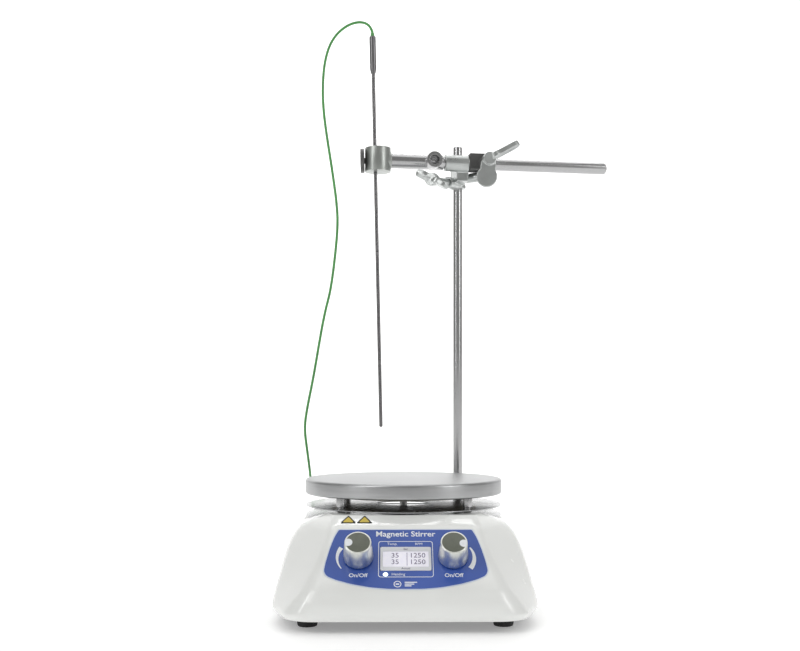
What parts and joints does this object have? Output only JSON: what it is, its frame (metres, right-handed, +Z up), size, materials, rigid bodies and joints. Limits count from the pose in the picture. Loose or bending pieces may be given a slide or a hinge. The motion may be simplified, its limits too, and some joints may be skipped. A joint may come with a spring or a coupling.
{
  "type": "magnetic stirrer hotplate",
  "caption": "Hotplate magnetic stirrer with a sloped control panel, round heated plate over heat shields, support rod, boss head, arm and clamped temperature probe.",
  "frame": {"origin": "on the bench, straight under the centre of the hot plate", "axes": "+X to the user's right, +Y from the control panel to the rear, +Z up"},
  "size_m": [0.2779, 0.3084, 0.4872],
  "materials": {
    "white_paint": "gloss",
    "black_plastic": "satin",
    "rubber": "matte",
    "screw_steel": "satin",
    "blue_film": "satin",
    "pale_plastic": "satin",
    "display_glass": "clear",
    "indicator": "gloss",
    "circuit_board": "satin",
    "sticker": "satin",
    "plate_metal": "machined",
    "shield_metal": "polished",
    "heater_mica": "matte",
    "dark_metal": "satin",
    "brass_bush": "satin",
    "polished_steel": "polished",
    "magnet": "satin",
    "cast_zinc": "cast",
    "clamp_steel": "satin",
    "probe_steel": "satin",
    "green_silicone": "satin",
    "satin_knob": "satin",
    "knob_cap": "satin"
  },
  "bodies": {
    "base": {"housing_shell": "white_paint", "base_plate": "black_plastic", "rubber_feet": "rubber", "chassis_screws": "screw_steel", "panel_label": "blue_film", "lcd_bezel": "pale_plastic", "lcd_window": "display_glass", "lcd_module": "black_plastic", "status_led": "indicator", "display_board": "circuit_board", "knob_encoders": "black_plastic", "caution_stickers": "sticker", "hot_plate": "plate_metal", "upper_heat_shield": "shield_metal", "lower_heat_shield": "shield_metal", "heating_element": "heater_mica", "plate_sensor": "screw_steel", "heater_lead_tube": "screw_steel", "plate_standoffs": "polished_steel", "standoff_screws": "screw_steel", "motor_bracket": "screw_steel", "motor_body": "dark_metal", "motor_bearing": "brass_bush", "board_standoffs": "black_plastic", "control_board": "circuit_board", "transformer": "dark_metal", "power_inlet": "black_plastic", "inlet_pins": "screw_steel", "fuse_drawer": "black_plastic", "switch_frame": "black_plastic", "probe_socket": "screw_steel", "probe_plug": "black_plastic", "rod_socket": "polished_steel", "rod_socket_nut": "screw_steel", "probe_cable": "green_silicone"},
    "drive_rotor": {"motor_shaft": "polished_steel", "magnet_carrier": "dark_metal", "drive_magnets": "magnet"},
    "temp_button": {"temp_plunger": "black_plastic"},
    "temp_dial": {"temp_shaft": "polished_steel", "temp_knob": "satin_knob", "temp_knob_cap": "knob_cap"},
    "speed_button": {"speed_plunger": "black_plastic"},
    "speed_dial": {"speed_shaft": "polished_steel", "speed_knob": "satin_knob", "speed_knob_cap": "knob_cap"},
    "rocker": {"power_rocker": "black_plastic"},
    "rod": {"support_rod": "polished_steel"},
    "head": {"boss_head": "cast_zinc", "boss_jaw": "dark_metal"},
    "rod_screw": {"rod_wing_screw": "cast_zinc"},
    "arm_screw": {"arm_wing_screw": "cast_zinc"},
    "arm": {"arm_rod": "polished_steel"},
    "clamp": {"clamp_head": "clamp_steel", "clamp_stem": "polished_steel", "stem_set_screw": "dark_metal"},
    "thumb": {"clamp_screw": "dark_metal"},
    "probe": {"probe_sheath": "probe_steel", "probe_handle": "probe_steel", "probe_strain_relief": "green_silicone"}
  },
  "joints": [
    {"name": "stir_spin", "type": "hinge", "parent": "base", "child": "drive_rotor", "pos_m": [0, 0, 0.05], "axis": [0, 0, 1], "continuous": true},
    {"name": "temp_press", "type": "slide", "parent": "base", "child": "temp_button", "axis": [0, 0.7198, -0.6942], "range_m": [0, 0.001], "stiffness_N_per_m": 800, "springref_m": -0.001},
    {"name": "temp_turn", "type": "hinge", "parent": "temp_button", "child": "temp_dial", "pos_m": [-0.0338, -0.12434, 0.05753], "axis": [0, -0.7198, 0.6942], "continuous": true},
    {"name": "speed_press", "type": "slide", "parent": "base", "child": "speed_button", "axis": [0, 0.7198, -0.6942], "range_m": [0, 0.001], "stiffness_N_per_m": 800, "springref_m": -0.001},
    {"name": "speed_turn", "type": "hinge", "parent": "speed_button", "child": "speed_dial", "pos_m": [0.0338, -0.12434, 0.05753], "axis": [0, -0.7198, 0.6942], "continuous": true},
    {"name": "rocker_tilt", "type": "hinge", "parent": "base", "child": "rocker", "pos_m": [0.004, 0.125, 0.036], "axis": [0, 0, -1], "range_deg": [0, 16]},
    {"name": "rod_swivel", "type": "hinge", "parent": "base", "child": "rod", "pos_m": [0.049, 0.073, 0.1], "axis": [0, 0, 1], "range_deg": [-30, 30]},
    {"name": "head_slide", "type": "slide", "parent": "rod", "child": "head", "axis": [0, 0, 1], "range_m": [-0.022, 0.01]},
    {"name": "rod_screw_turn", "type": "hinge", "parent": "head", "child": "rod_screw", "pos_m": [0.049, 0.073, 0.3545], "axis": [-0.4322, -0.8964, -0.098], "range_deg": [-180, 90]},
    {"name": "arm_screw_turn", "type": "hinge", "parent": "head", "child": "arm_screw", "pos_m": [0.06954, 0.05196, 0.368], "axis": [0.1564, -0.9877, 0], "range_deg": [-180, 90]},
    {"name": "arm_slide", "type": "slide", "parent": "head", "child": "arm", "axis": [0.9877, 0.1564, 0], "range_m": [-0.04, 0.0013], "deforming": ["probe_cable"]},
    {"name": "clamp_roll", "type": "hinge", "parent": "arm", "child": "clamp", "pos_m": [0.05275, 0.04929, 0.368], "axis": [0.9877, 0.1564, 0], "range_deg": [-12, 12]},
    {"name": "thumb_turn", "type": "hinge", "parent": "clamp", "child": "thumb", "pos_m": [-0.02364, 0.0376, 0.368], "axis": [-0.9998, 0, -0.0216], "range_deg": [-360, 0]},
    {"name": "probe_slide", "type": "slide", "parent": "clamp", "child": "probe", "axis": [-0.0216, 0, 0.9998], "range_m": [-0.015, 0.04]}
  ]
}
